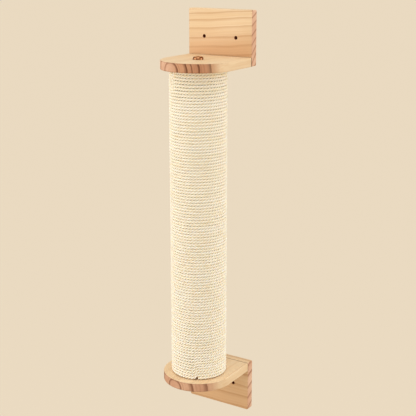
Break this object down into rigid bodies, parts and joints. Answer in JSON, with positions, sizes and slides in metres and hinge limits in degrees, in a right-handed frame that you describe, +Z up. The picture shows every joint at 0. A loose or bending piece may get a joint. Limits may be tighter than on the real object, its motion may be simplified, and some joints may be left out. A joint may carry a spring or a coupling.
{
  "type": "wall mounted cat scratching post",
  "caption": "Rope wound cat scratching post held upright between two wooden brackets that screw flat to a wall.",
  "frame": {"origin": "on the wall, midway between the two screw holes of the upper bracket", "axes": "+X to the right along the wall, +Y into the wall, +Z up along the post"},
  "size_m": [0.14, 0.163, 0.808],
  "materials": {
    "pine": "planed and sanded, unvarnished",
    "plug_wood": "sawn and turned, raw",
    "cardboard": "matt",
    "sisal": "coarse twisted fibre",
    "bronze": "bronze plated, satin",
    "zinc_steel": "zinc plated"
  },
  "bodies": {
    "root": {"upper_wall_plate": "pine", "lower_wall_plate": "pine", "upper_shelf": "pine", "lower_shelf": "pine", "upper_shelf_screws": "zinc_steel", "lower_shelf_screws": "zinc_steel", "upper_post_bolt": "bronze", "lower_post_bolt": "bronze", "upper_tee_nut": "zinc_steel", "lower_tee_nut": "zinc_steel", "upper_end_plug": "plug_wood", "lower_end_plug": "plug_wood", "upper_plug_nails": "zinc_steel", "lower_plug_nails": "zinc_steel", "post_tube": "cardboard", "rope_upper_turns": "sisal", "rope_middle": "sisal", "rope_lower_turns": "sisal"}
  },
  "joints": []
}
